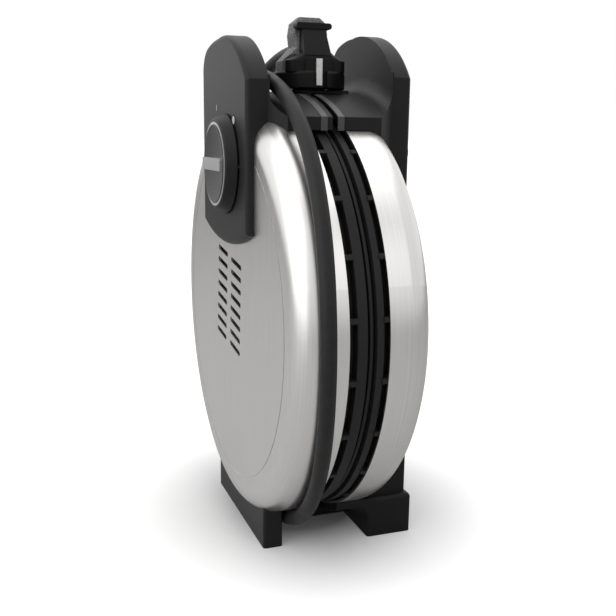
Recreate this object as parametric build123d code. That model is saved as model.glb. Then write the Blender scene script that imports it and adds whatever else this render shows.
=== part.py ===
from build123d import *
import math
import os

# A two-sided heart waffle maker stored upright: the lid is the -X half, the base the +X half,
# the handles are on top, the hinge and the feet at the bottom. Millimetres, +Z up.
# X = 0 is the parting plane here; export() moves it so that the body's box is centred on X = 0.

# Round steel shells
DISC_Z = 115.0
SHELL_R = 105.0
SHELL_WALL = 1.2
RIM_X = 9.3
FACE_X = 32.0
CORNER_R = 12.0
SEAM_R = 87.0
SEAM_W = 0.8
SEAM_DEPTH = 0.4
TOUCH = 0.05

# Cast plates with five heart pockets
PLATE_R = 92.0
PLATE_FRONT = 0.3
PLATE_BACK = 10.8
HEARTS = 5
POCKET_DEPTH = 8.0
HEART_TIP = 12.0
LOBE_R = 18.5
LOBE_Y = 18.0
LOBE_OUT = 62.0
PEG_PITCH = 9.0
PEG = 5.0
PEG_HEIGHT = 2.5
PEG_EDGE = 4.5
PLATE_POST_R = 4.0
PLATE_POST_AT = 75.0
POST_ANGLES = (30, 150, 270)

# Black carrier rings between the shells
CARRIER_IN = 92.6
RING_R = 103.0
CORE_R = 98.0
LIP_R = 101.5
LEDGE_IN = 84.0
LEDGE_THICK = 3.0
LID_RING = (0.2, 4.8)
BASE_LIP = (1.4, 3.0)
BASE_RING = (4.2, 7.4)
RIBS = 24
RIB_W = 2.4
PIN_NOTCH = 8.0

# Heating elements, reflectors and small internals
HEATER_R = 60.0
HEATER_TUBE = 3.4
HEATER_GAP_DEG = 40.0
HEATER_LEG_R = 2.2
REFLECTOR_X = 19.0
REFLECTOR_R = 88.0
SHEET = 0.8
SCREW_R = 1.5
SCREW_HEAD_R = 3.2
SCREW_HEAD = 2.0
LEDGE_SCREW_AT = 88.0
LEDGE_SCREW_ANGLES = (0, 120, 240)

# Handles: upright panels on a wider bridge that follows the disc
BRIDGE_R = 110.5
BRIDGE_IN = 105.2
BRIDGE_HALF = 52.0
BRIDGE_LOW = 175.0
LID_BRIDGE_END = 2.6
LID_BRIDGE_BEND = 19.0
BASE_BRIDGE_END = 7.1
BASE_BRIDGE_BEND = 27.0
LID_PANEL = (24.6, 35.5)
LID_PANEL_HALF = 42.0
LID_PANEL_TOP = 251.5
LID_U_FILLET = 4.5
BASE_PANEL = (38.2, 48.4)
BASE_PANEL_HALF = 39.5
BASE_PANEL_TOP = 254.0
BASE_U_FILLET = 8.0
PANEL_EDGE = 2.5
SEAT_R = 112.0
TONGUE_X = 27.0
TONGUE_HALF = 12.0
TONGUE_IN = 106.3
TONGUE_GAP = 0.6

# Feet and hinge
LID_FOOT = (17.2, 27.4)
LID_FOOT_HALF = 43.5
LID_FOOT_TOP = 25.0
BASE_FOOT = (27.5, 52.0)
BASE_FOOT_HALF = 48.0
BASE_FOOT_TOP = 21.0
FOOT_EDGE = 1.5
RISER_X = 50.0
RISER_HALF = 44.6
RISER_TOP = 74.0
UNDER_R = 109.0
UNDER_X = 10.0
UNDER_FILLET = 4.5
HINGE_X = 4.0
HINGE_Z = 6.6
KNUCKLE_R = 4.4
HINGE_PIN_R = 2.2
HINGE_RUN = 0.06
EARS = ((6.0, 10.0), (16.5, 20.5))
LUG = (10.5, 16.0)

# Temperature knob, its shaft and the two pips beside it
KNOB_Y = -6.0
KNOB_Z = 190.0
KNOB_R = 21.8
KNOB_SKIRT_R = 24.4
KNOB_X = (36.2, 41.6)
KNOB_BAR_OUT = 43.0
KNOB_BAR_Y = (-21.9, 14.6)
KNOB_BAR_H = 6.0
SHAFT_R = 3.0
SHAFT_RUN = 0.06
THERMO_R = 12.0
LAMP_Y = -20.7
LAMP_Z = 210.9
LAMP_R = 2.0
LAMP_OUT = 0.4

# Vent slots: two columns, each slot falls towards -Y
VENT_LEN = 18.8
VENT_W = 2.5
VENT_ROWS = 8
VENT_TILT = 7.6
VENT_COLUMNS = (((14.2, 144.0), (18.5, 98.5)), ((-11.0, 140.6), (-7.8, 96.0)))

# Plug with two round pins, parked pins down between the handles
PLUG_X = 8.3
PLUG_Y = -3.0
PLUG_Z = 227.0
PLUG_R = 18.5
PLUG_DISC = 8.0
PLUG_BODY = (31.0, 29.0, 5.0)
PLUG_SHOULDER_Z = 240.0
PLUG_NECK_Z = 243.4
PLUG_NECK_W = (14.0, 11.7)
PLUG_NECK_FRONT = (-17.0, -11.0)
PLUG_BAR_Z = 255.3
PLUG_BAR = (18.4, 3.0)
PLUG_SPINE_Y = -18.4
PLUG_SPLIT = ((-8.0, 226.0), (-8.0, 240.0), (-9.5, 243.4), (-6.5, 255.3), (-6.0, 258.3), (-3.0, 266.0))
# Rear half, from the shoulder up: height, width, depth, middle in Y, corner radius
PLUG_GRIP = (
    (240.0, 31.0, 31.0, -3.5, 12.0),
    (247.0, 17.4, 18.0, -1.5, 6.0),
    (253.0, 18.8, 19.0, -1.0, 7.0),
    (258.5, 18.0, 17.0, -1.5, 7.0),
    (261.5, 11.0, 10.0, -2.5, 4.0),
)
PLUG_EXIT_Y = 15.0
PLUG_EXIT_Z = 247.0
STRIPS = ((-19.4, -18.5), (12.1, 13.0))
STRIP_W = 3.0
STRIP_NOTCH_W = 7.0
PIN_R = 2.4
PIN_LEN = 18.5
PIN_AT = 9.5
PIN_SLOT_HALF = 3.5
PIN_SLOT_X = 21.2

# Cord: wound once and a quarter round the lid's rim, then up to the plug.
# Each turn point is (angle from +Y towards +Z, radius about the disc axis, X).
CORD_D = 7.2
CORD_START = (-43, 109.2, -21.5)
CORD_TURNS = (
    (-28, 112.9, -21.5),
    (2, 112.9, -21.5),
    (30, 113.5, -21.0),
    (54, 118.0, -20.3),
    (78, 120.2, -19.6),
    (102, 120.2, -18.6),
    (126, 116.5, -17.2),
    (152, 112.9, -19.2),
    (181, 112.9, -21.2),
    (211, 112.9, -17.6),
    (241, 112.9, -12.3),
    (270, 112.9, -12.0),
    (300, 112.9, -12.2),
    (330, 112.9, -12.2),
    (360, 112.9, -12.0),
    (388, 113.5, -11.0),
)
CORD_FREE = ((-6.0, 84.0, 205.0), (3.0, 60.0, 236.5), (8.3, 37.0, 247.0))
GLAND_R = 5.6
GLAND_LEN = 15.0

CENTRE_X = (BASE_FOOT[1] - KNOB_BAR_OUT) / 2
AXIAL = Plane(origin=(0, 0, DISC_Z), x_dir=(1, 0, 0), z_dir=(0, -1, 0))
DISC_AXIS = Axis((0, 0, DISC_Z), (1, 0, 0))


def export(node, solid):
    """Write one sub-part, moved so that the body is centred on X = 0."""
    export_step(Pos(-CENTRE_X, 0, 0) * solid, f"parts/{node}.step")


def rod(x0, x1, radius, y=0.0, z=DISC_Z):
    """A cylinder along X."""
    flat = Plane.YZ.offset(x0) * Pos(y, z) * Circle(radius)
    return extrude(flat, x1 - x0)


def ring(x0, x1, r_in, r_out):
    return rod(x0, x1, r_out) - rod(x0 - 1, x1 + 1, r_in)


def block(x, y, z):
    """A box between (low, high) pairs."""
    size = (x[1] - x[0], y[1] - y[0], z[1] - z[0])
    centre = ((x[0] + x[1]) / 2, (y[0] + y[1]) / 2, (z[0] + z[1]) / 2)
    return Pos(*centre) * Box(*size)


def rod_y(y0, y1, radius, x, z):
    """A cylinder along Y."""
    flat = Plane(origin=(x, y0, z), x_dir=(1, 0, 0), z_dir=(0, 1, 0)) * Circle(radius)
    return extrude(flat, y1 - y0)


def spin(profile):
    """A turned solid about the disc axis, its seam kept clear of handles and feet."""
    return revolve(AXIAL * profile, DISC_AXIS).rotate(DISC_AXIS, 75)


def lid_side(solid):
    """The lid half is drawn at +X and mirrored."""
    return mirror(solid, about=Plane.YZ)


def polar(radius, degrees):
    """(Y, Z) of a point about the disc axis."""
    turn = math.radians(degrees)
    return radius * math.cos(turn), DISC_Z + radius * math.sin(turn)


def dish(grow, x_open=RIM_X):
    """The solid inside one shell's outline, grown by a margin."""
    face = FACE_X + grow
    outer = SHELL_R + grow
    bend = CORNER_R + grow
    diagonal = bend * math.sqrt(0.5)
    lines = Polyline((face, outer - bend), (face, 0), (x_open, 0), (x_open, outer), (face - bend, outer))
    middle = (face - bend + diagonal, outer - bend + diagonal)
    corner = ThreePointArc((face - bend, outer), middle, (face, outer - bend))
    return spin(make_face([lines, corner]))


def shell():
    body = dish(0) - dish(-SHELL_WALL, RIM_X - 1)
    return body - ring(FACE_X - SEAM_DEPTH, FACE_X + 1, SEAM_R - SEAM_W / 2, SEAM_R + SEAM_W / 2)


def base_shell():
    half = (PLUG_Y - PIN_SLOT_HALF, PLUG_Y + PIN_SLOT_HALF)
    return shell() - block((RIM_X - 1, PIN_SLOT_X), half, (DISC_Z + 95, DISC_Z + SHELL_R + 1))


def vents():
    slots = []
    for top, bottom in VENT_COLUMNS:
        for row in range(VENT_ROWS):
            share = row / (VENT_ROWS - 1)
            y = top[0] + share * (bottom[0] - top[0])
            z = top[1] + share * (bottom[1] - top[1])
            slot = Plane.YZ.offset(FACE_X - 3) * Pos(y, z) * Rot(0, 0, VENT_TILT) * SlotOverall(VENT_LEN, VENT_W)
            slots.append(extrude(slot, 6))
    return slots


def lid_shell():
    body = shell() - rod(FACE_X - 3, FACE_X + 1, SHAFT_R + 1.5, KNOB_Y, KNOB_Z)
    y, z = gland_centre()
    inlet = Pos(-CORD_START[2], y, z) * Rot(90 - GLAND_ANGLE, 0, 0) * Rot(180, 0, 0) * Cylinder(4.2, 30)
    return lid_side(body - vents() - inlet)


def heart():
    """Heart outline with its tip towards the disc centre, drawn along local +Y."""
    reach = math.hypot(LOBE_Y, LOBE_OUT - HEART_TIP)
    lean = math.atan2(LOBE_Y, LOBE_OUT - HEART_TIP) + math.asin(LOBE_R / reach)
    side = math.sqrt(reach * reach - LOBE_R * LOBE_R)
    touch = (side * math.sin(lean), HEART_TIP + side * math.cos(lean))
    kite = Polyline(
        (0, HEART_TIP), touch, (LOBE_Y, LOBE_OUT), (-LOBE_Y, LOBE_OUT), (-touch[0], touch[1]), close=True
    )
    lobes = Pos(LOBE_Y, LOBE_OUT) * Circle(LOBE_R) + Pos(-LOBE_Y, LOBE_OUT) * Circle(LOBE_R)
    return make_face(kite) + lobes


def in_heart(x, y):
    """True where a peg's centre is well inside the heart."""
    lobe = math.hypot(abs(x) - LOBE_Y, y - LOBE_OUT) < LOBE_R - PEG_EDGE
    reach = math.hypot(LOBE_Y, LOBE_OUT - HEART_TIP)
    lean = math.atan2(LOBE_Y, LOBE_OUT - HEART_TIP) + math.asin(LOBE_R / reach)
    from_side = (y - HEART_TIP) * math.sin(lean) - abs(x) * math.cos(lean)
    return lobe or (y < LOBE_OUT and from_side > PEG_EDGE and abs(x) < LOBE_Y + LOBE_R - PEG_EDGE)


def pocket():
    """The space of one heart pocket round its pegs, seen from the parting plane."""
    space = extrude(heart(), POCKET_DEPTH + 1)
    pegs = []
    for column in range(-4, 5):
        for row in range(1, 11):
            x = column * PEG_PITCH
            y = row * PEG_PITCH
            if in_heart(x, y):
                pegs.append(Pos(x, y, POCKET_DEPTH + 1 - PEG_HEIGHT / 2) * Box(PEG, PEG, PEG_HEIGHT))
    return space - pegs


def plate():
    body = rod(PLATE_FRONT, PLATE_BACK, PLATE_R)
    tool = pocket()
    for turn in range(HEARTS):
        place = Pos(PLATE_FRONT - 1, 0, DISC_Z) * Rot(turn * 360 / HEARTS, 0, 0) * Rot(0, 90, 0) * Rot(0, 0, 90)
        body -= place * tool
    for angle in POST_ANGLES:
        y, z = polar(PLATE_POST_AT, angle)
        body += rod(PLATE_BACK, REFLECTOR_X, PLATE_POST_R, y, z)
        body -= rod(PLATE_BACK + 1, REFLECTOR_X + 1, SCREW_R, y, z)
    for angle in LEDGE_SCREW_ANGLES:
        y, z = polar(LEDGE_SCREW_AT, angle)
        body -= rod(PLATE_BACK - 5, PLATE_BACK + 1, SCREW_R, y, z)
    return body


def pin_notch(body):
    """The gap at the top of a ring that the parked plug's pins swing through."""
    half = (PLUG_Y - PIN_NOTCH / 2, PLUG_Y + PIN_NOTCH / 2)
    return body - block((-1, PIN_SLOT_X + 1), half, (DISC_Z + CARRIER_IN - 0.5, DISC_Z + SHELL_R))


def ribs(x0, x1):
    """Short ribs that tie a ring to its shell."""
    bars = []
    inner = CORE_R - 1
    outer = SHELL_R - SHELL_WALL - TOUCH
    for turn in range(RIBS):
        bar = block((x0, x1), (inner, outer), (-RIB_W / 2, RIB_W / 2))
        bars.append(Pos(0, 0, DISC_Z) * Rot((turn + 0.5) * 360 / RIBS, 0, 0) * bar)
    return bars


def ledge():
    """The flange behind the plate: it meets the shell's wall and takes the screws."""
    body = ring(PLATE_BACK, PLATE_BACK + LEDGE_THICK, LEDGE_IN, SHELL_R - SHELL_WALL - TOUCH)
    for angle in LEDGE_SCREW_ANGLES:
        y, z = polar(LEDGE_SCREW_AT, angle)
        body -= rod(PLATE_BACK - 1, PLATE_BACK + LEDGE_THICK + 1, SCREW_R + 0.2, y, z)
    return body


def base_carrier():
    body = ring(0.2, PLATE_BACK, CARRIER_IN, CORE_R) + ledge()
    body += ring(BASE_LIP[0], BASE_LIP[1], CARRIER_IN, LIP_R)
    body += ring(BASE_RING[0], BASE_RING[1], CARRIER_IN, RING_R)
    return pin_notch(body + ribs(BASE_RING[1] - 0.2, PLATE_BACK + 0.2))


def lug_outline():
    """Side view of a hinge lug, in X and Z, at the lid's mirrored side."""
    points = ((7.8, 22), (0.3, 22), (0.3, 11.8), (-2, 10.6), (-4, 6.6), (-2, 2.9), (1.5, 3.2), (7.8, 9))
    return Plane.XZ * make_face(Polyline(*points, close=True))


def lid_carrier():
    body = ring(LID_RING[0], PLATE_BACK, CARRIER_IN, CORE_R) + ledge()
    body += ring(LID_RING[0], LID_RING[1], CARRIER_IN, RING_R)
    body = pin_notch(body + ribs(LID_RING[1] - 0.2, PLATE_BACK + 0.2))
    for side in (-1, 1):
        near = min(side * LUG[0], side * LUG[1])
        arm = Pos(0, near, 0) * extrude(lug_outline(), -(LUG[1] - LUG[0]))
        body += arm - rod(-1, PLATE_BACK, CARRIER_IN + 1)
        body += rod_y(near, near + LUG[1] - LUG[0], KNUCKLE_R, -HINGE_X, HINGE_Z)
        body -= rod_y(near - 1, near + LUG[1] - LUG[0] + 1, HINGE_PIN_R + HINGE_RUN, -HINGE_X, HINGE_Z)
    return lid_side(body)


def heater():
    """Tubular element: an open ring with two legs through the reflector."""
    x = PLATE_BACK + HEATER_TUBE + TOUCH
    half = HEATER_GAP_DEG / 2
    start = polar(HEATER_R, -90 + half)
    middle = polar(HEATER_R, 90)
    end = polar(HEATER_R, -90 - half)
    path = ThreePointArc((x, *start), (x, *middle), (x, *end))
    body = sweep(Plane(origin=path @ 0, z_dir=path % 0) * Circle(HEATER_TUBE), path)
    for y, z in (start, end):
        body += rod(x, REFLECTOR_X + 5, HEATER_LEG_R, y, z)
        body += Pos(x, y, z) * Sphere(HEATER_TUBE)
    return body


def reflector():
    body = rod(REFLECTOR_X, REFLECTOR_X + SHEET, REFLECTOR_R)
    body += ring(REFLECTOR_X - 3, REFLECTOR_X + SHEET, REFLECTOR_R - SHEET, REFLECTOR_R)
    half = HEATER_GAP_DEG / 2
    for angle in (-90 - half, -90 + half):
        body -= rod(REFLECTOR_X - 1, REFLECTOR_X + 2, HEATER_LEG_R + 1.2, *polar(HEATER_R, angle))
    for angle in POST_ANGLES:
        body -= rod(REFLECTOR_X - 1, REFLECTOR_X + 2, SCREW_R + 0.2, *polar(PLATE_POST_AT, angle))
    return body


def screw(x_head, x_tip, y, z):
    """A pan head at x_head and beyond, its shank running back to x_tip."""
    return rod(x_tip, x_head, SCREW_R, y, z) + rod(x_head, x_head + SCREW_HEAD, SCREW_HEAD_R, y, z)


def screws():
    solids = []
    for angle in POST_ANGLES:
        solids.append(screw(REFLECTOR_X + SHEET, PLATE_BACK + 2, *polar(PLATE_POST_AT, angle)))
    for angle in LEDGE_SCREW_ANGLES:
        solids.append(screw(PLATE_BACK + LEDGE_THICK, PLATE_BACK - 4, *polar(LEDGE_SCREW_AT, angle)))
    return Compound(solids)


def panel_outline(half, top, bottom, bottom_edge):
    """Upright handle panel: a long arc falls to the -Y edge, the +Y corner is round and high."""
    near = (-half, top - 22.5)
    crown = (half * 0.28, top)
    far = (half - 11, top - 2.3)
    corner = (half, top - 14)
    rise = ThreePointArc(near, (-half * 0.43, top - 4), crown)
    fall = ThreePointArc(crown, (half * 0.52, top - 0.6), far)
    turn = ThreePointArc(far, (half - 3.6, top - 6.6), corner)
    sides = Polyline(corner, (half, bottom_edge))
    base = ThreePointArc((half, bottom_edge), (0, bottom), (-half, bottom_edge))
    return make_face([rise, fall, turn, sides, base, Line((-half, bottom_edge), near)])


def rounded_panel(outline, x0, x1):
    body = extrude(Plane.YZ.offset(x0) * outline, x1 - x0)
    return fillet(body.faces().sort_by(Axis.X)[-1].edges(), PANEL_EDGE)


def handle(panel_x, u_fillet, bridge_end, envelope):
    """A bridge over the disc turned up into a panel, cut to its outline and to the shell."""
    x_in, x_out = panel_x
    reach = 150.0
    low = 20.0
    foot = FACE_X - CORNER_R + 2
    bend = u_fillet * (1 - math.sqrt(0.5))
    lines = Polyline(
        (x_in, BRIDGE_R + u_fillet), (x_in, reach), (x_out, reach), (x_out, low), (foot, low),
        (foot, BRIDGE_IN), (bridge_end, BRIDGE_IN), (bridge_end, BRIDGE_R), (x_in - u_fillet, BRIDGE_R)
    )
    inside = ThreePointArc(
        (x_in - u_fillet, BRIDGE_R), (x_in - bend, BRIDGE_R + bend), (x_in, BRIDGE_R + u_fillet)
    )
    return (spin(make_face([lines, inside])) & envelope) - dish(TOUCH, RIM_X - 2)


def bridge_block(end, bend, x_in, half, u_fillet):
    """The bridge's space: wider than the panel, and drawn in to it from the bend on."""
    far = x_in + 0.5
    inner = half - TOUCH
    corners = ((end, -BRIDGE_HALF), (bend, -BRIDGE_HALF), (far, -inner), (far, inner))
    outline = Polyline(*corners, (bend, BRIDGE_HALF), (end, BRIDGE_HALF), close=True)
    height = DISC_Z + BRIDGE_R + u_fillet + 1 - BRIDGE_LOW
    return extrude(Plane.XY.offset(BRIDGE_LOW) * make_face(outline), height)


def lid_handle():
    outline = panel_outline(LID_PANEL_HALF, LID_PANEL_TOP, 150.0, 158.0)
    panel = rounded_panel(outline, FACE_X - CORNER_R, LID_PANEL[1])
    envelope = panel + bridge_block(-LID_BRIDGE_END, LID_BRIDGE_BEND, LID_PANEL[0], LID_PANEL_HALF, LID_U_FILLET)
    body = lid_side(handle(LID_PANEL, LID_U_FILLET, -LID_BRIDGE_END, envelope))
    body += ring(LID_BRIDGE_END - 2, TONGUE_X, TONGUE_IN, SEAT_R - TOUCH) & tongue_block(0)
    for side in (-1, 1):
        hole = Pos(PLUG_X + side * PIN_AT, PLUG_Y, PLUG_Z - 10) * Cylinder(PIN_R + 0.2, 30)
        body -= hole
    body -= rod(-LID_PANEL[1] - 1, -FACE_X + 2, SHAFT_R + 0.8, KNOB_Y, KNOB_Z)
    return body - rod(-LID_PANEL[1] - 1, -FACE_X - 0.6, LAMP_R + TOUCH, LAMP_Y, LAMP_Z)


def tongue_block(grow):
    """The plug's seat reaches from the lid's bridge across the parting plane."""
    half = TONGUE_HALF + grow
    return block((LID_BRIDGE_END - 2, TONGUE_X + grow), (-half, half), (DISC_Z + 90, DISC_Z + SEAT_R + 1))


def base_handle():
    outline = panel_outline(BASE_PANEL_HALF, BASE_PANEL_TOP, 152.0, 160.0)
    panel = rounded_panel(outline, FACE_X - 2, BASE_PANEL[1])
    envelope = panel + bridge_block(BASE_BRIDGE_END, BASE_BRIDGE_BEND, BASE_PANEL[0], BASE_PANEL_HALF, BASE_U_FILLET)
    body = handle(BASE_PANEL, BASE_U_FILLET, BASE_BRIDGE_END, envelope)
    body -= block((FACE_X - 1, BASE_PANEL[1] - 3), (-35, 35), (166, 205))
    return body - tongue_block(TONGUE_GAP)


def under_profile():
    """Section of the arch under the shell, with a fillet up to the foot's inner face."""
    x_in = BASE_FOOT[0]
    rise = UNDER_FILLET
    bend = rise * (1 - math.sqrt(0.5))
    lines = Polyline(
        (x_in, UNDER_R + rise), (x_in + 4, UNDER_R + rise), (x_in + 4, BRIDGE_IN),
        (UNDER_X, BRIDGE_IN), (UNDER_X, UNDER_R), (x_in - rise, UNDER_R)
    )
    corner = ThreePointArc((x_in - rise, UNDER_R), (x_in - bend, UNDER_R + bend), (x_in, UNDER_R + rise))
    return make_face([lines, corner])


def base_foot():
    """Foot block, riser against the base face, the arch that follows the disc, hinge ears."""
    x_in, x_out = BASE_FOOT
    half = (-BASE_FOOT_HALF, BASE_FOOT_HALF)
    body = block((x_in, x_out), half, (0, BASE_FOOT_TOP))
    body = fillet(body.edges().filter_by(Axis.Z), FOOT_EDGE)
    body = fillet(body.faces().sort_by(Axis.X)[-1].edges().group_by(Axis.Z)[-1], 2.0)
    riser = block((FACE_X - 2, RISER_X), (-RISER_HALF, RISER_HALF), (10, RISER_TOP))
    riser = fillet(riser.edges().filter_by(Axis.X).group_by(Axis.Z)[-1], 14.0)
    body += fillet(riser.faces().sort_by(Axis.X)[-1].edges().group_by(Axis.Z)[-1], 1.5)
    body += spin(under_profile()) & block((UNDER_X, x_in + 4), half, (0.5, 40))
    body -= dish(TOUCH, RIM_X - 2)
    body -= block((FACE_X - 1, RISER_X - 3), (-RISER_HALF + 4, RISER_HALF - 4), (24, RISER_TOP - 10))
    for side in (-1, 1):
        for ear in EARS:
            near = min(side * ear[0], side * ear[1])
            far = max(side * ear[0], side * ear[1])
            body += block((HINGE_X, x_in + 1), (near, far), (HINGE_Z - KNUCKLE_R, HINGE_Z + 2))
            body += rod_y(near, far, KNUCKLE_R, HINGE_X, HINGE_Z)
            body -= rod_y(near - 0.1, far + 0.1, HINGE_PIN_R, HINGE_X, HINGE_Z)
    return body


def hinge_pins():
    pins = []
    for side in (-1, 1):
        near = min(side * EARS[0][0], side * EARS[1][1])
        far = max(side * EARS[0][0], side * EARS[1][1])
        pins.append(rod_y(near, far, HINGE_PIN_R, HINGE_X, HINGE_Z))
    return Compound(pins)


def lid_foot():
    body = block(LID_FOOT, (-LID_FOOT_HALF, LID_FOOT_HALF), (0, LID_FOOT_TOP))
    body = fillet(body.edges().filter_by(Axis.Z), FOOT_EDGE)
    return lid_side(body - dish(TOUCH, RIM_X - 2))


def knob_cap():
    """Skirted knob with a dished face and a rim groove for the light ring."""
    x0, x1 = KNOB_X
    skirt = Cone(KNOB_SKIRT_R, KNOB_R, x1 - x0, align=(Align.CENTER, Align.CENTER, Align.MIN))
    body = Pos(x0, KNOB_Y, KNOB_Z) * Rot(0, 90, 0) * skirt
    body = fillet(body.faces().sort_by(Axis.X)[-1].edges(), 1.2)
    dished = Pos(x1 + 88.8, KNOB_Y, KNOB_Z) * Sphere(90)
    body -= dished & rod(x1 - 3, x1 + 1, 18.0, KNOB_Y, KNOB_Z)
    groove = rod(x1 - 0.8, x1 + 1, 20.4, KNOB_Y, KNOB_Z) - rod(x1 - 1, x1 + 1, 19.2, KNOB_Y, KNOB_Z)
    body -= groove
    body -= knob_bar_block()
    return body - rod(x0 - 1, x0 + 3.5, SHAFT_R, KNOB_Y, KNOB_Z)


def knob_bar_block():
    x1 = KNOB_X[1]
    half = KNOB_BAR_H / 2
    body = block((x1 - 1.6, KNOB_BAR_OUT), KNOB_BAR_Y, (KNOB_Z - half, KNOB_Z + half))
    body = fillet(body.edges().filter_by(Axis.X), 1.2)
    return body & rod(x1 - 3, KNOB_BAR_OUT + 1, 18.6, KNOB_Y, KNOB_Z)


def knob_ring():
    x1 = KNOB_X[1]
    return rod(x1 - 0.8, x1 + 0.1, 20.4, KNOB_Y, KNOB_Z) - rod(x1 - 1, x1 + 1, 19.2, KNOB_Y, KNOB_Z)


def thermostat_shaft():
    return rod(REFLECTOR_X + 4, KNOB_X[0] + 3.5, SHAFT_R, KNOB_Y, KNOB_Z)


def thermostat_body():
    x0 = REFLECTOR_X + 2
    x1 = FACE_X - SHELL_WALL
    body = rod(x0, x1, THERMO_R, KNOB_Y, KNOB_Z)
    bore = rod(REFLECTOR_X + 3.9, x1 + 1, SHAFT_R + SHAFT_RUN, KNOB_Y, KNOB_Z)
    tabs = block((x0 - 1, x0), (KNOB_Y - 5, KNOB_Y + 5), (KNOB_Z - 20, KNOB_Z - 8))
    return body - bore + tabs


def terminal_block():
    body = block((REFLECTOR_X + SHEET, FACE_X - SHELL_WALL), (34, 58), (58, 68))
    for y in (40, 46, 52):
        body -= block((REFLECTOR_X + 5, FACE_X), (y - 1.6, y + 1.6), (60, 66))
    return body


def thermal_fuse():
    x = REFLECTOR_X + SHEET
    body = rod_y(-8, 8, 3.0, x + 3.0, 90)
    return body + block((x, x + 2), (-3, 3), (85, 95))


def rest_pads():
    """Two rubber pads level the handle with the foot when the appliance lies on its base."""
    pads = []
    for y in (-26, 26):
        pads.append(rod(BASE_PANEL[1], BASE_FOOT[1], 5.0, y, 196))
    return Compound(pads)


def pilot_lamp():
    body = rod(-LID_PANEL[1] - LAMP_OUT, -FACE_X - 0.6, LAMP_R, LAMP_Y, LAMP_Z)
    return fillet(body.faces().sort_by(Axis.X)[0].edges(), LAMP_OUT)


def turn_point(angle, radius, x):
    return (x, *polar(radius, angle))


GLAND_ANGLE = CORD_START[0] - 7


def gland_centre():
    return polar(CORD_START[1], GLAND_ANGLE)


def cord_points():
    points = [turn_point(*CORD_START)]
    points += [turn_point(*turn) for turn in CORD_TURNS]
    points += list(CORD_FREE)
    points.append((PLUG_X, PLUG_EXIT_Y, PLUG_EXIT_Z))
    return [Vector(*point) for point in points]


def cord_radii(points):
    """The largest tangent arc that 0.45 of the shorter run beside each point allows."""
    radii = []
    for before, point, after in zip(points, points[1:], points[2:]):
        turn = math.radians((point - before).get_angle(after - point))
        run = min((point - before).length, (after - point).length)
        radii.append(0.45 * run / math.tan(turn / 2))
    return radii


def winding_gap(path):
    """Least gap between strands that lie at least 60 mm apart along the cord."""
    count = 500
    step = path.length / count
    apart = round(60 / step)
    places = [path @ (k / count) for k in range(count + 1)]
    least = 1e9
    for i in range(count + 1):
        for j in range(i + apart, count + 1):
            least = min(least, (places[i] - places[j]).length)
    return least - CORD_D


def power_cord():
    points = cord_points()
    radii = cord_radii(points)
    path = FilletPolyline(*points, radius=radii)
    section = Plane(origin=path @ 0, z_dir=path % 0) * Circle(CORD_D / 2)
    tube = sweep(section, path)
    expected = math.pi * CORD_D * CORD_D / 4 * path.length
    print("cord length", round(path.length, 1), "radii", [round(r) for r in radii])
    print("cord volume ratio", round(tube.volume / expected, 4), "gap", round(winding_gap(path), 2))
    return tube


def cord_gland():
    """Strain relief: a sleeve along the rim and a stub through the shell's wall."""
    points = cord_points()
    back = (points[0] - points[1]).normalized()
    sleeve = extrude(Plane(origin=points[0], z_dir=back) * Circle(GLAND_R), GLAND_LEN)
    sleeve = sleeve - lid_side(dish(TOUCH, RIM_X - 2))
    y, z = gland_centre()
    stub = Pos(CORD_START[2], y, z) * Rot(90 - GLAND_ANGLE, 0, 0) * Rot(180, 0, 0)
    stub = stub * Cylinder(4.0, 16)
    return sleeve + stub


def plug_zone():
    """The space of the plug's dark front half, which ends at the split line."""
    outline = Polyline((-40, PLUG_SPLIT[0][1]), *PLUG_SPLIT, (-40, PLUG_SPLIT[-1][1]), close=True)
    return extrude(Plane.YZ.offset(-30) * make_face(outline), 60)


def cross_section(z, width, low, high, corner=0.0):
    """A level section of the plug between two Y places."""
    flat = RectangleRounded(width, high - low, corner) if corner else Rectangle(width, high - low)
    return Plane.XY.offset(z) * Pos(0, (low + high) / 2) * flat


def plug_front():
    """Front shoulder, spine, the leaning neck and the T-bar on top."""
    width, depth, corner = PLUG_BODY
    low = PLUG_Y - depth / 2
    high = PLUG_Y + depth / 2
    foot_z = PLUG_Z + PLUG_DISC - 0.5
    body = extrude(cross_section(foot_z, width, low, high, corner), PLUG_SHOULDER_Z - foot_z)
    shoulder = cross_section(PLUG_SHOULDER_Z, width, low, high, corner)
    body += loft([shoulder, cross_section(PLUG_NECK_Z, PLUG_NECK_W[0] + 1, low + 0.6, high, 3.0)], ruled=True)
    half = PLUG_NECK_W[0] / 2
    body += block((-half, half), (PLUG_SPINE_Y, 0), (foot_z, PLUG_SHOULDER_Z + 1))
    neck_low = cross_section(PLUG_NECK_Z - 1, PLUG_NECK_W[0], PLUG_NECK_FRONT[0] - 0.4, 0)
    neck_top = cross_section(PLUG_BAR_Z + 0.5, PLUG_NECK_W[1], PLUG_NECK_FRONT[1], 0)
    body += loft([neck_low, neck_top])
    bar = block((-PLUG_BAR[0] / 2, PLUG_BAR[0] / 2), (PLUG_NECK_FRONT[1] - 0.6, 0), (PLUG_BAR_Z, PLUG_BAR_Z + PLUG_BAR[1]))
    return body + fillet(bar.edges().filter_by(Axis.Y), 1.4)


def plug_body():
    """Dark half: the round disc with its two earth notches, and the front."""
    disc = Pos(0, PLUG_Y, PLUG_Z + PLUG_DISC / 2) * Cylinder(PLUG_R, PLUG_DISC)
    disc = fillet(disc.edges().group_by(Axis.Z)[-1], 1.5)
    for low, high in ((-30, STRIPS[0][1]), (STRIPS[1][0], 30)):
        half = STRIP_NOTCH_W / 2
        disc -= block((-half, half), (low, high), (PLUG_Z - 1, PLUG_Z + PLUG_DISC + 1))
    return Pos(PLUG_X, 0, 0) * (disc + (plug_front() & plug_zone()))


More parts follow.
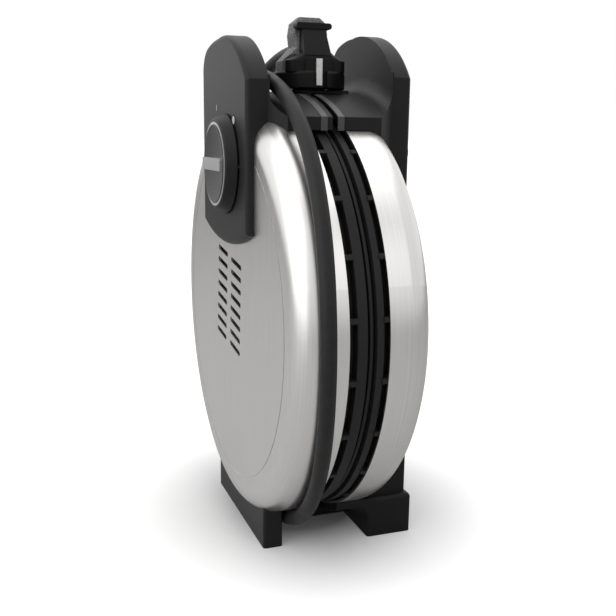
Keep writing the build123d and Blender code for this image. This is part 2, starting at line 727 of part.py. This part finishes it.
def plug_grips():
    """Light textured rear half: rear shoulder, bulging grip and the cord's exit."""
    sections = []
    for z, width, depth, middle, corner in PLUG_GRIP:
        sections.append(cross_section(z, width, middle - depth / 2, middle + depth / 2, corner))
    foot_z = PLUG_Z + PLUG_DISC
    _, width, depth, middle, corner = PLUG_GRIP[0]
    low = cross_section(foot_z, width, middle - depth / 2, middle + depth / 2, corner)
    body = extrude(low, PLUG_SHOULDER_Z - foot_z) + loft(sections, ruled=True)
    body += rod_y(0, PLUG_EXIT_Y, 5.0, 0, PLUG_EXIT_Z)
    return Pos(PLUG_X, 0, 0) * (body - plug_zone())


def plug_pins():
    pins = []
    for side in (-1, 1):
        pin = Pos(PLUG_X + side * PIN_AT, PLUG_Y, PLUG_Z - PIN_LEN / 2) * Cylinder(PIN_R, PIN_LEN)
        pins.append(fillet(pin.edges().group_by(Axis.Z)[0], 1.6))
    return Compound(pins)


def plug_earth_strips():
    strips = []
    width = (PLUG_X - STRIP_W / 2, PLUG_X + STRIP_W / 2)
    for reach in STRIPS:
        strips.append(block(width, reach, (PLUG_Z + 1.2, PLUG_Z + 13.8)))
    return Compound(strips)


export("base_shell", base_shell())
export("base_plate", plate())
export("base_carrier", base_carrier())
export("base_heater", heater())
export("base_reflector", reflector())
export("base_screws", screws())
export("base_handle", base_handle())
export("base_foot", base_foot())
export("hinge_pins", hinge_pins())
export("rest_pads", rest_pads())
export("thermal_fuse", thermal_fuse())
export("lid_shell", lid_shell())
export("lid_plate", lid_side(plate()))
export("lid_carrier", lid_carrier())
export("lid_heater", lid_side(heater()))
export("lid_reflector", lid_side(reflector()))
export("lid_screws", lid_side(screws()))
export("lid_handle", lid_handle())
export("lid_foot", lid_foot())
export("thermostat_body", lid_side(thermostat_body()))
export("terminal_block", lid_side(terminal_block()))
export("pilot_lamp", pilot_lamp())
export("cord_gland", cord_gland())
export("power_cord", power_cord())
export("plug_body", plug_body())
export("plug_grips", plug_grips())
export("plug_pins", plug_pins())
export("plug_earth_strips", plug_earth_strips())
export("thermostat_shaft", lid_side(thermostat_shaft()))
export("knob_cap", lid_side(knob_cap()))
export("knob_ring", lid_side(knob_ring()))
export("knob_bar", lid_side(knob_bar_block()))
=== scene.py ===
import math
import bmesh
import bpy
import numpy as np
from mathutils import Matrix, Vector


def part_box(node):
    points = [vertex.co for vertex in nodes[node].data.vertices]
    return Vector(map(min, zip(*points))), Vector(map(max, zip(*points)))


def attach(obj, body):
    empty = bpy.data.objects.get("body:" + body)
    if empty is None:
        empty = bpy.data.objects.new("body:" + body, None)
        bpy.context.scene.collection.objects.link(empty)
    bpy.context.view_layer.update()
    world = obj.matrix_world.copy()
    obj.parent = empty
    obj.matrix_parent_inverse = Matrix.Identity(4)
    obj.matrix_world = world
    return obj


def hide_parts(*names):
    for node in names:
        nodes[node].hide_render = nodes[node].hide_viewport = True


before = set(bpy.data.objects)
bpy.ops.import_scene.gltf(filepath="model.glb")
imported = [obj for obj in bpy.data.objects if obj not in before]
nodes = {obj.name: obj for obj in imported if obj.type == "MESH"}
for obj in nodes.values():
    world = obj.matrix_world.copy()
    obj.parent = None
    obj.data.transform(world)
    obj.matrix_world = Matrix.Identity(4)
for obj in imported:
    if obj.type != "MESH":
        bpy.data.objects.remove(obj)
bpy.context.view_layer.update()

MM = 0.001

# Landmarks of the object, read from the frame
shell_lo, shell_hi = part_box("lid_shell")
base_lo, base_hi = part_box("base_shell")
PART_X = (shell_hi.x + base_lo.x) / 2
DISC_Z = (base_lo.z + base_hi.z) / 2
FACE_X = shell_lo.x
knob_lo, knob_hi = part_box("knob_cap")
KNOB_Y = (knob_lo.y + knob_hi.y) / 2
KNOB_Z = (knob_lo.z + knob_hi.z) / 2
PANEL_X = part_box("lid_handle")[0].x
BRIDGE_R = 110.5
BRIDGE_HALF = 52.0


def ring_point(angle, radius, x):
    """A point at an angle from +Y towards +Z about the disc axis, all in real sizes."""
    turn = math.radians(angle)
    across = radius * MM * math.cos(turn)
    up = DISC_Z + radius * MM * math.sin(turn)
    return (PART_X + x * MM, across, up)


# Camera: the viewpoint fitted to the rims, the feet and the handles
EYE = (PART_X / MM - 143.5, -414.1, 204.6)
LOOK = (0.32195, 0.92472, -0.20310)
ROLL = 0.008
LENS = 48.92
SENSOR = 36.0
SHIFT = 0.0296


def make_camera():
    data = bpy.data.cameras.new("viewpoint")
    data.lens = LENS
    data.sensor_width = SENSOR
    data.shift_x = SHIFT
    data.clip_start = 0.01
    data.clip_end = 50.0
    camera = bpy.data.objects.new("viewpoint", data)
    ahead = Vector(LOOK).normalized()
    right = ahead.cross(Vector((0, 0, 1))).normalized()
    up = right.cross(ahead)
    right_rolled = right * math.cos(ROLL) + up * math.sin(ROLL)
    up_rolled = up * math.cos(ROLL) - right * math.sin(ROLL)
    turn = Matrix((right_rolled, up_rolled, -ahead)).transposed()
    camera.matrix_world = Matrix.Translation(Vector(EYE) * MM) @ turn.to_4x4()
    bpy.context.scene.collection.objects.link(camera)
    bpy.context.scene.camera = camera


make_camera()

# Cord: the same route as the model's, each turn as (angle, radius, X), then the free end
CORD_D = 7.2
CORD_START = (-43, 109.2, -21.5)
CORD_TURNS = (
    (-28, 112.9, -21.5),
    (2, 112.9, -21.5),
    (30, 113.5, -21.0),
    (54, 118.0, -20.3),
    (78, 120.2, -19.6),
    (102, 120.2, -18.6),
    (126, 116.5, -17.2),
    (152, 112.9, -19.2),
    (181, 112.9, -21.2),
    (211, 112.9, -17.6),
    (241, 112.9, -12.3),
    (270, 112.9, -12.0),
    (300, 112.9, -12.2),
    (330, 112.9, -12.2),
    (360, 112.9, -12.0),
    (388, 113.5, -11.0),
)
CORD_FREE = ((-6.0, 84.0, 205.0), (3.0, 60.0, 236.5), (8.3, 37.0, 247.0))
PLUG_EXIT = (8.3, 15.0, 247.0)


def free_point(place):
    return (PART_X + place[0] * MM, place[1] * MM, place[2] * MM)


def new_piece(name, mesh, material, body):
    """An object at the origin that rides on a body and wears one material."""
    piece = bpy.data.objects.new(name, mesh)
    bpy.context.scene.collection.objects.link(piece)
    mesh.materials.append(material)
    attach(piece, body)
    return piece


def surface(name, points, cap=True):
    """Closed mesh of a grid (rows, columns, 3): columns wrap round, rows run from end to end,
    and each end is closed by a fan about the middle of its row."""
    rows, columns = points.shape[:2]
    u, v = np.meshgrid(np.arange(rows - 1), np.arange(columns), indexing="ij")
    after = (v + 1) % columns
    corners = (u * columns + v, (u + 1) * columns + v, (u + 1) * columns + after, u * columns + after)
    quads = np.stack(corners, axis=-1).reshape(-1, 4).tolist()
    verts = points.reshape(-1, 3)
    fans = []
    if cap:
        first = len(verts)
        last_row = (rows - 1) * columns
        verts = np.concatenate([verts, points[:1].mean(axis=1), points[-1:].mean(axis=1)])
        k = np.arange(columns)
        nxt = (k + 1) % columns
        start = np.stack([np.full(columns, first), k, nxt], axis=-1)
        end = np.stack([np.full(columns, first + 1), last_row + nxt, last_row + k], axis=-1)
        fans = start.tolist() + end.tolist()
    mesh = bpy.data.meshes.new(name)
    mesh.from_pydata(verts.tolist(), [], quads + fans)
    work = bmesh.new()
    work.from_mesh(mesh)
    bmesh.ops.remove_doubles(work, verts=work.verts, dist=1e-7)
    bmesh.ops.recalc_face_normals(work, faces=work.faces)
    work.to_mesh(mesh)
    work.free()
    mesh.shade_smooth()
    mesh.set_sharp_from_angle(angle=math.radians(35))
    return mesh


def turned(profile, y, z, sides=96):
    """Turned form about an X axis: profile holds (x, radius) pairs in real sizes from the
    parting plane, and each becomes a circle of that radius about (y, z)."""
    x, radius = np.array(profile, dtype=float).T
    turn = np.linspace(0, 2 * math.pi, sides, endpoint=False)
    grid = np.empty((len(x), sides, 3))
    grid[..., 0] = (PART_X / MM + x)[:, None]
    grid[..., 1] = y + radius[:, None] * np.cos(turn)
    grid[..., 2] = z + radius[:, None] * np.sin(turn)
    return grid * MM


def ribbon(path, x0, x1, thickness, edge=0.2):
    """Strip across X along a path of (y, z) places: its section is a flat octagon whose
    corners are cut by the edge, set square to the path."""
    path = np.array(path, dtype=float)
    ahead = np.gradient(path, axis=0)
    ahead /= np.linalg.norm(ahead, axis=1)[:, None]
    out = np.stack([-ahead[:, 1], ahead[:, 0]], axis=-1)
    half = thickness / 2
    across = np.array([x0 + edge, x1 - edge, x1, x1, x1 - edge, x0 + edge, x0, x0])
    up = np.array([-half, -half, -half + edge, half - edge, half, half, half - edge, -half + edge])
    grid = np.empty((len(path), 8, 3))
    grid[..., 0] = PART_X / MM + across
    grid[..., 1:] = path[:, None, :] + out[:, None, :] * up[None, :, None]
    return grid * MM


def sleeve(places, radii, sides=32):
    """Tube round a row of places: each ring is a circle of its own radius in the plane that is
    square to the row there."""
    ahead = np.gradient(places, axis=0)
    ahead /= np.linalg.norm(ahead, axis=1)[:, None]
    side = np.cross(ahead, (1.0, 0.0, 0.0))
    side /= np.linalg.norm(side, axis=1)[:, None]
    up = np.cross(side, ahead)
    turn = np.linspace(0, 2 * math.pi, sides, endpoint=False)
    circle = side[:, None] * np.cos(turn)[None, :, None] + up[:, None] * np.sin(turn)[None, :, None]
    return places[:, None] + circle * radii[:, None, None]


class Finish:
    """A node material that is built up from named noises on Object coordinates."""

    def __init__(self, name, color, roughness, metallic=0.0, specular=0.5):
        self.material = bpy.data.materials.new(name)
        self.material.use_nodes = True
        self.tree = self.material.node_tree
        self.shader = self.tree.nodes["Principled BSDF"]
        self.shader.inputs["Base Color"].default_value = (*color, 1.0)
        self.shader.inputs["Roughness"].default_value = roughness
        self.shader.inputs["Metallic"].default_value = metallic
        self.shader.inputs["Specular IOR Level"].default_value = specular
        self.place = self.tree.nodes.new("ShaderNodeTexCoord").outputs["Object"]

    def link(self, source, target):
        self.tree.links.new(source, target)

    def noise(self, scale, stretch=(1, 1, 1), detail=3.0, rough=0.55):
        """Noise at scale waves per metre, stretched along the axes."""
        mapping = self.tree.nodes.new("ShaderNodeMapping")
        mapping.inputs["Scale"].default_value = stretch
        self.link(self.place, mapping.inputs["Vector"])
        noise = self.tree.nodes.new("ShaderNodeTexNoise")
        noise.inputs["Scale"].default_value = scale
        noise.inputs["Detail"].default_value = detail
        noise.inputs["Roughness"].default_value = rough
        self.link(mapping.outputs["Vector"], noise.inputs["Vector"])
        return noise.outputs["Fac"]

    def spread(self, source, low, high, start=0.3, end=0.7):
        """Maps the middle of a noise to the range low to high."""
        node = self.tree.nodes.new("ShaderNodeMapRange")
        node.inputs["From Min"].default_value = start
        node.inputs["From Max"].default_value = end
        node.inputs["To Min"].default_value = low
        node.inputs["To Max"].default_value = high
        self.link(source, node.inputs["Value"])
        return node.outputs["Result"]

    def blend(self, share, first, second):
        """Mixes two values by a share."""
        node = self.tree.nodes.new("ShaderNodeMix")
        node.data_type = "FLOAT"
        self.link(share, node.inputs["Factor"])
        self.link(first, node.inputs[2])
        self.link(second, node.inputs[3])
        return node.outputs[0]

    def colors(self, share, low, high):
        """Base colour that runs from low to high with a share."""
        node = self.tree.nodes.new("ShaderNodeMix")
        node.data_type = "RGBA"
        node.inputs[6].default_value = (*low, 1.0)
        node.inputs[7].default_value = (*high, 1.0)
        self.link(share, node.inputs["Factor"])
        self.link(node.outputs[2], self.shader.inputs["Base Color"])

    def roughness(self, share):
        self.link(share, self.shader.inputs["Roughness"])

    def bump(self, height, depth_mm, strength=1.0, edge_mm=0.0):
        node = self.tree.nodes.new("ShaderNodeBump")
        if edge_mm:
            soft = self.tree.nodes.new("ShaderNodeBevel")
            soft.samples = 4
            soft.inputs["Radius"].default_value = edge_mm * MM
            self.link(soft.outputs["Normal"], node.inputs["Normal"])
        node.inputs["Strength"].default_value = strength
        node.inputs["Distance"].default_value = depth_mm * MM
        self.link(height, node.inputs["Height"])
        self.link(node.outputs["Normal"], self.shader.inputs["Normal"])

    def facing_x(self):
        """1 on faces square to X, 0 on the rim."""
        normal = self.tree.nodes.new("ShaderNodeNewGeometry").outputs["Normal"]
        split = self.tree.nodes.new("ShaderNodeSeparateXYZ")
        self.link(normal, split.inputs["Vector"])
        size = self.tree.nodes.new("ShaderNodeMath")
        size.operation = "ABSOLUTE"
        self.link(split.outputs["X"], size.inputs[0])
        return self.spread(size.outputs[0], 0.0, 1.0, 0.75, 0.97)


def brushed_steel():
    """Satin stainless steel: grain round the rim, upright grain on the flat face."""
    steel = Finish("brushed_steel", (0.76, 0.75, 0.735), 0.3, metallic=1.0)
    round_rim = steel.noise(1.0, (4200, 14, 14), 2.0)
    upright = steel.noise(1.0, (60, 3600, 22), 2.0)
    grain = steel.blend(steel.facing_x(), round_rim, upright)
    cloud = steel.noise(26.0, detail=2.0)
    steel.colors(steel.spread(grain, 0.0, 1.0), (0.71, 0.70, 0.685), (0.80, 0.79, 0.775))
    steel.roughness(steel.spread(grain, 0.27, 0.37, 0.2, 0.8))
    steel.bump(steel.blend(steel.spread(cloud, 0.0, 0.1), grain, grain), 0.004, 0.5)
    return steel.material


def moulded_black(name="moulded_black", level=0.018, rough=0.42):
    """Black moulded plastic: fine satin grain, faint flow shading and softened edges."""
    plastic = Finish(name, (level,) * 3, rough, specular=0.17)
    grain = plastic.noise(2600.0, detail=2.0)
    flow = plastic.noise(14.0, detail=2.0)
    dark = (level * 0.86, level * 0.86, level * 0.87)
    plastic.colors(plastic.spread(flow, 0.0, 1.0), dark, (level * 1.12, level * 1.12, level * 1.14))
    plastic.roughness(plastic.spread(grain, rough - 0.05, rough + 0.06))
    plastic.bump(grain, 0.02, 0.35, edge_mm=0.7)
    return plastic.material


def cord_sheath():
    """Satin black sheath with faint drawing lines and scuffs."""
    sheath = Finish("cord_sheath", (0.021, 0.021, 0.022), 0.5, specular=0.24)
    scuff = sheath.noise(160.0, detail=4.0)
    grain = sheath.noise(1500.0, detail=2.0)
    sheath.colors(sheath.spread(scuff, 0.0, 1.0), (0.017, 0.017, 0.018), (0.026, 0.026, 0.027))
    sheath.roughness(sheath.spread(scuff, 0.42, 0.56))
    sheath.bump(grain, 0.03, 0.3)
    return sheath.material


def plain_finish(name, color, roughness, metallic=0.0, grain=900.0, depth=0.01, swing=0.06):
    """A satin surface whose tone and gloss vary a little with a fine grain."""
    finish = Finish(name, color, roughness, metallic)
    fine = finish.noise(grain, detail=3.0)
    low = tuple(c * (1 - swing) for c in color)
    high = tuple(min(1.0, c * (1 + swing)) for c in color)
    finish.colors(finish.spread(fine, 0.0, 1.0), low, high)
    finish.roughness(finish.spread(fine, roughness - 0.05, roughness + 0.05))
    finish.bump(fine, depth, 0.4)
    return finish.material


def speckled_grip():
    """Grey moulded grip with a coarse spark-eroded texture."""
    grip = Finish("speckled_grip", (0.19, 0.185, 0.185), 0.6)
    cells = grip.noise(1100.0, detail=3.0, rough=0.7)
    grip.colors(grip.spread(cells, 0.0, 1.0, 0.38, 0.62), (0.09, 0.09, 0.088), (0.29, 0.28, 0.28))
    grip.bump(cells, 0.25, 0.6)
    return grip.material


def coated_plate():
    """Dark non-stick coating with fine speckle."""
    coat = Finish("coated_plate", (0.06, 0.058, 0.056), 0.38, specular=0.45)
    speck = coat.noise(1400.0, detail=3.0, rough=0.7)
    coat.colors(coat.spread(speck, 0.0, 1.0, 0.45, 0.7), (0.045, 0.044, 0.043), (0.11, 0.105, 0.10))
    coat.bump(speck, 0.02, 0.4)
    return coat.material


STEEL = brushed_steel()
BLACK = moulded_black()
RING_GREY = moulded_black("moulded_ring", 0.026, 0.5)
FOOT_BLACK = moulded_black("foot_black", 0.010, 0.5)
PLUG_BLACK = moulded_black("plug_black", 0.007, 0.45)
# Near-black matt finish for the sheet behind the vent slots: painted shade
SLOT_SHADE_BLACK = plain_finish("painted_slot_shade", (0.006, 0.006, 0.006), 0.8)
SHEATH = cord_sheath()
COATING = coated_plate()
GRIP = speckled_grip()
KNOB_FACE = plain_finish("knob_face", (0.06, 0.06, 0.059), 0.36, metallic=0.75, grain=700.0)
SILVER = plain_finish("silver_bar", (0.52, 0.52, 0.52), 0.35, metallic=0.6, grain=1200.0)
LIGHT = plain_finish("light_ring", (0.60, 0.60, 0.59), 0.35, metallic=0.3)
PLATED = plain_finish("plated_metal", (0.86, 0.85, 0.82), 0.18, metallic=1.0, grain=500.0, depth=0.003)
EARTH_METAL = plain_finish("earth_metal", (0.93, 0.92, 0.90), 0.3, metallic=0.2, grain=500.0, depth=0.003)
ZINC = plain_finish("zinc_steel", (0.62, 0.62, 0.63), 0.35, metallic=1.0)
TINTED = plain_finish("heat_tinted_steel", (0.40, 0.37, 0.33), 0.42, metallic=1.0, grain=300.0, swing=0.2)
SHEET = plain_finish("rolled_sheet", (0.78, 0.78, 0.79), 0.4, metallic=1.0)
STRIP_GREY = plain_finish("strip_grey", (0.075, 0.075, 0.075), 0.4)
STEATITE = plain_finish("steatite", (0.82, 0.80, 0.75), 0.65)
LENS_PALE = plain_finish("lamp_lens", (0.72, 0.70, 0.67), 0.2)
RUBBER = plain_finish("pad_rubber", (0.03, 0.03, 0.03), 0.75)
MARK = plain_finish("printed_mark", (0.62, 0.62, 0.61), 0.55)

NODE_FINISH = {
    "lid_shell": STEEL,
    "base_shell": STEEL,
    "lid_handle": BLACK,
    "base_handle": BLACK,
    "lid_foot": BLACK,
    "base_foot": FOOT_BLACK,
    "lid_carrier": RING_GREY,
    "base_carrier": RING_GREY,
    "lid_plate": COATING,
    "base_plate": COATING,
    "lid_heater": TINTED,
    "base_heater": TINTED,
    "lid_reflector": SHEET,
    "base_reflector": SHEET,
    "lid_screws": ZINC,
    "base_screws": ZINC,
    "hinge_pins": FOOT_BLACK,
    "thermostat_shaft": ZINC,
    "thermostat_body": STEATITE,
    "terminal_block": STEATITE,
    "thermal_fuse": STEATITE,
    "rest_pads": RUBBER,
    "cord_gland": SHEATH,
    "plug_body": PLUG_BLACK,
    "plug_grips": GRIP,
    "plug_pins": PLATED,
    "plug_earth_strips": EARTH_METAL,
    "pilot_lamp": LENS_PALE,
    "knob_cap": BLACK,
    "knob_ring": LIGHT,
    "knob_bar": SILVER,
}


def dress_nodes():
    for name, material in NODE_FINISH.items():
        piece = nodes[name]
        piece.data.materials.clear()
        piece.data.materials.append(material)


def make_cord():
    """The sheath: a bevelled NURBS curve through the route's control points."""
    route = [ring_point(*CORD_START)]
    route += [ring_point(*turn) for turn in CORD_TURNS]
    route += [free_point(place) for place in CORD_FREE]
    route.append(free_point(PLUG_EXIT))
    data = bpy.data.curves.new("mains_cord", "CURVE")
    data.dimensions = "3D"
    spline = data.splines.new("NURBS")
    spline.points.add(len(route) - 1)
    for point, place in zip(spline.points, route):
        point.co = (*place, 1.0)
    spline.order_u = 3
    spline.use_endpoint_u = True
    data.resolution_u = 24
    data.bevel_depth = CORD_D / 2 * MM
    data.bevel_resolution = 6
    cord = new_piece("mains_cord", data, SHEATH, "lid")
    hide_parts("power_cord")
    return cord


# Each strip's body and its ends along X
STRIPS = (("lid", -3.2, 0.1), ("base", 5.1, 8.3))
STRIP_THICKNESS = 0.7
STRIP_LOW = 206.4
STRIP_STOP = {-1: 21.5, 1: 16.0}


def seam_strips():
    """Grey strips along the inner ends of both bridges: each follows the bridge's circle and
    turns down over its end face."""
    corner = math.asin(BRIDGE_HALF / BRIDGE_R)
    for body, x0, x1 in STRIPS:
        for side in (-1, 1):
            turn = np.linspace(corner, math.asin(STRIP_STOP[side] / BRIDGE_R), 40)
            height = DISC_Z / MM + BRIDGE_R * np.cos(turn)
            arc = np.stack([side * BRIDGE_R * np.sin(turn), height], axis=-1)
            fall = np.linspace(STRIP_LOW, height[0], 8)[:-1]
            drop = np.stack([np.full(len(fall), side * BRIDGE_HALF), fall], axis=-1)
            grid = ribbon(np.concatenate([drop, arc]), x0, x1, STRIP_THICKNESS)
            name = f"{body}_seam_strip_{'near' if side < 0 else 'far'}"
            new_piece(name, surface(name, grid), STRIP_GREY, body)


DIAL_R = 19.0
DIAL_PROUD = 0.55
DIAL_DISH = 1.364
DIAL_SEAT = 1.3
DIAL_SEAT_R = 17.5


def knob_dial():
    """Dished dial: x falls as the square of the radius from its rim to its middle."""
    rim = knob_lo.x / MM - PART_X / MM
    face = rim - DIAL_PROUD
    share = np.linspace(1.0, 0.0, 24)
    dish = np.stack([face + DIAL_DISH * (1 - share ** 2), DIAL_R * share], axis=-1)
    back = rim + DIAL_SEAT
    wall = [[back, DIAL_SEAT_R], [back, DIAL_R], [rim - 0.3, DIAL_R + 0.1], [face, DIAL_R - 0.15]]
    grid = turned(np.concatenate([wall, dish[1:]]), KNOB_Y / MM, KNOB_Z / MM)
    new_piece("knob_dial", surface("knob_dial", grid), KNOB_FACE, "knob")


BEZEL_R = 2.45
BEZEL_HALF = (0.35, 0.4)


def lamp_bezel():
    """A thin raised ring round the pilot lamp."""
    lamp_lo, lamp_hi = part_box("pilot_lamp")
    y = (lamp_lo.y + lamp_hi.y) / 2 / MM
    z = (lamp_lo.z + lamp_hi.z) / 2 / MM
    face = PANEL_X / MM - PART_X / MM
    turn = np.linspace(0, 2 * math.pi, 17)
    rise, width = BEZEL_HALF
    profile = np.stack([face + 0.1 + rise * np.cos(turn), BEZEL_R + width * np.sin(turn)], axis=-1)
    mesh = surface("lamp_bezel", turned(profile, y, z, 48), cap=False)
    new_piece("lamp_bezel", mesh, FOOT_BLACK, "lid")


# Each mark's name, its middle (y, z), its width and its height
MARKS = (("off_mark", 11.8, 217.5, 0.8, 3.0), ("dial_tick", -29.6, 189.6, 0.5, 1.2))


def printed_marks():
    """Two small raised dashes on the lid's panel: the off place over the knob, and a tick."""
    face = PANEL_X / MM - PART_X / MM
    for name, y, z, width, height in MARKS:
        turn = np.linspace(0, 2 * math.pi, 25)[:-1]
        square = np.stack([np.cos(turn), np.sin(turn)], axis=-1)
        outline = np.sign(square) * np.abs(square) ** 0.5 * (width / 2, height / 2)
        grid = np.empty((3, len(turn), 3))
        for row, (x, share) in enumerate(((face + 0.3, 1.0), (face - 0.05, 1.0), (face - 0.1, 0.8))):
            grid[row, :, 0] = PART_X / MM + x
            grid[row, :, 1] = y + outline[:, 0] * share
            grid[row, :, 2] = z + outline[:, 1] * share
        new_piece(name, surface(name, grid * MM), MARK, "lid")


# Sheet of painted shade behind the vent slots: its middle (y, z), half sizes, depth and thickness
VENT_MIDDLE = (3.5, 120.0)
VENT_HALF = (27, 33)
SHADE_SHEET_DEPTH = 3.0
SHADE_SHEET_THICKNESS = 0.8


def slot_shade_sheet():
    """A near-black sheet behind the slots: painted shade, so that the slots show as dark as the shaded
    inside of the lid.
    """
    turn = np.linspace(0, 2 * math.pi, 65)[:-1]
    square = np.stack([np.cos(turn), np.sin(turn)], axis=-1)
    outline = np.sign(square) * np.abs(square) ** 0.25 * VENT_HALF
    face = FACE_X / MM + SHADE_SHEET_DEPTH
    grid = np.empty((2, len(turn), 3))
    for row, x in enumerate((face, face + SHADE_SHEET_THICKNESS)):
        grid[row, :, 0] = x
        grid[row, :, 1] = VENT_MIDDLE[0] + outline[:, 0]
        grid[row, :, 2] = VENT_MIDDLE[1] + outline[:, 1]
    new_piece("slot_shade_sheet", surface("slot_shade_sheet", grid * MM), SLOT_SHADE_BLACK, "lid")


RELIEF_LENGTH = 34
RELIEF_R = 5.6
RELIEF_TAPER = 1.75
RIB_COUNT = 7
RIB_RISE = 0.35


def cord_relief(cord):
    """Tapered ribbed sleeve on the cord's first stretch: the radius falls from the gland to
    the sheath and swells at each rib."""
    bare = cord.data.copy()
    bare.bevel_depth = 0.0
    line = bpy.data.objects.new("route", bare)
    bpy.context.scene.collection.objects.link(line)
    mesh = bpy.data.meshes.new_from_object(line.evaluated_get(bpy.context.evaluated_depsgraph_get()))
    places = np.array([vertex.co for vertex in mesh.vertices])
    bpy.data.objects.remove(line)
    bpy.data.meshes.remove(mesh)
    bpy.data.curves.remove(bare)
    along = np.concatenate([[0], np.cumsum(np.linalg.norm(np.diff(places, axis=0), axis=1))])
    reach = np.linspace(0, RELIEF_LENGTH * MM, 86)
    track = np.stack([np.interp(reach, along, places[:, axis]) for axis in range(3)], axis=-1)
    share = reach / reach[-1]
    ribs = RIB_RISE * np.maximum(0, np.sin(share * 2 * math.pi * RIB_COUNT)) * (1 - share)
    radii = (RELIEF_R - RELIEF_TAPER * share + ribs) * MM
    new_piece("cord_relief", surface("cord_relief", sleeve(track, radii)), SHEATH, "lid")


dress_nodes()
cord = make_cord()
cord_relief(cord)
seam_strips()
knob_dial()
lamp_bezel()
printed_marks()
slot_shade_sheet()


def area_light(name, place, size, power):
    data = bpy.data.lights.new(name, "AREA")
    data.shape = "RECTANGLE"
    data.size, data.size_y = size
    data.energy = power
    lamp = bpy.data.objects.new(name, data)
    lamp.location = place
    lamp.rotation_euler = (Vector(LIT_MIDDLE) - Vector(place)).to_track_quat("-Z", "Y").to_euler()
    bpy.context.scene.collection.objects.link(lamp)


def ray_share(tree, names):
    """1 for the named kinds of ray, 0 for the rest."""
    path = tree.nodes.new("ShaderNodeLightPath")
    total = path.outputs[names[0]]
    for name in names[1:]:
        add = tree.nodes.new("ShaderNodeMath")
        add.operation = "MAXIMUM"
        tree.links.new(total, add.inputs[0])
        tree.links.new(path.outputs[name], add.inputs[1])
        total = add.outputs[0]
    return total


def scaled(tree, value, low, high, start=0.0, end=1.0):
    node = tree.nodes.new("ShaderNodeMapRange")
    node.inputs["From Min"].default_value = start
    node.inputs["From Max"].default_value = end
    node.inputs["To Min"].default_value = low
    node.inputs["To Max"].default_value = high
    tree.links.new(value, node.inputs["Value"])
    return node.outputs["Result"]


def chosen(tree, share, first, second):
    """First where the share is 0, second where it is 1."""
    node = tree.nodes.new("ShaderNodeMix")
    node.data_type = "FLOAT"
    tree.links.new(share, node.inputs["Factor"])
    for value, socket in ((first, node.inputs[2]), (second, node.inputs[3])):
        if isinstance(value, float):
            socket.default_value = value
        else:
            tree.links.new(value, socket)
    return node.outputs[0]


# Lamps: name, place in metres, size and power. All point at the object's middle
LIT_MIDDLE = (0, 0, 0.12)
LAMPS = (
    ("left_window", (-1.1, -0.25, 0.75), (1.6, 1.6), 8),
    ("front_fill", (0.35, -1.3, 0.9), (0.8, 0.8), 1.2),
    ("overhead", (0.1, 0.2, 1.4), (1.8, 1.8), 6.5),
)

# Floor and background: the paper's glow runs from near to far between two distances in metres; it stays
# low next to the object, which paints a halo of shade round it
FLOOR_HALF = 30.0
FLOOR_WHITE = 0.80
FLOOR_IN_MIRROR = 0.75
HALO_SHADE_GLOW = 0.02
GLOW_FAR = 1.02
HALO_START = 0.03
HALO_END = 0.15
FLOOR_GLOSS = 0.05
WORLD_FILL = 0.25
GLOSS_FRONT = 0.78
GLOSS_BACK = 1.12


def make_world():
    """White to the camera; in mirrors it falls off a little towards the front."""
    world = bpy.data.worlds.new("studio")
    world.use_nodes = True
    tree = world.node_tree
    back = tree.nodes["Background"]
    back.inputs["Color"].default_value = (1, 1, 1, 1)
    split = tree.nodes.new("ShaderNodeSeparateXYZ")
    tree.links.new(tree.nodes.new("ShaderNodeTexCoord").outputs["Generated"], split.inputs["Vector"])
    mirror = scaled(tree, split.outputs["Y"], GLOSS_FRONT, GLOSS_BACK, -1.0, 1.0)
    gloss = chosen(tree, ray_share(tree, ("Is Glossy Ray", "Is Transmission Ray")), WORLD_FILL, mirror)
    strength = chosen(tree, ray_share(tree, ("Is Camera Ray",)), gloss, 1.0)
    tree.links.new(strength, back.inputs["Strength"])
    bpy.context.scene.world = world


def make_floor():
    """Pale paper that glows to the camera, so that it meets the background, and keeps shadows. Its glow
    fades next to the object, which paints shade round the object.
    """
    half = FLOOR_HALF
    corners = [(-half, -half, 0), (half, -half, 0), (half, half, 0), (-half, half, 0)]
    mesh = bpy.data.meshes.new("floor")
    mesh.from_pydata(corners, [], [(0, 1, 2, 3)])
    floor = bpy.data.objects.new("floor", mesh)
    bpy.context.scene.collection.objects.link(floor)
    paper = bpy.data.materials.new("paper_with_shade_halo")
    paper.use_nodes = True
    tree = paper.node_tree
    tree.nodes.remove(tree.nodes["Principled BSDF"])
    matt = tree.nodes.new("ShaderNodeBsdfDiffuse")
    mirrored = ray_share(tree, ("Is Glossy Ray", "Is Transmission Ray"))
    tree.links.new(chosen(tree, mirrored, FLOOR_WHITE, FLOOR_IN_MIRROR), matt.inputs["Color"])
    reach = tree.nodes.new("ShaderNodeVectorMath")
    reach.operation = "LENGTH"
    tree.links.new(tree.nodes.new("ShaderNodeTexCoord").outputs["Object"], reach.inputs[0])
    # Glow low near the object and full far off: painted shade round the object
    halo_shaded_glow = scaled(tree, reach.outputs["Value"], HALO_SHADE_GLOW, GLOW_FAR, HALO_START, HALO_END)
    glow = tree.nodes.new("ShaderNodeEmission")
    gloss = chosen(tree, mirrored, 0.0, FLOOR_GLOSS)
    shown = chosen(tree, ray_share(tree, ("Is Camera Ray",)), gloss, halo_shaded_glow)
    tree.links.new(shown, glow.inputs["Strength"])
    add = tree.nodes.new("ShaderNodeAddShader")
    tree.links.new(matt.outputs[0], add.inputs[0])
    tree.links.new(glow.outputs[0], add.inputs[1])
    tree.links.new(add.outputs[0], tree.nodes["Material Output"].inputs["Surface"])
    mesh.materials.append(paper)


def make_studio():
    make_world()
    make_floor()
    for lamp in LAMPS:
        area_light(*lamp)
    bpy.context.scene.view_settings.view_transform = "Standard"


make_studio()
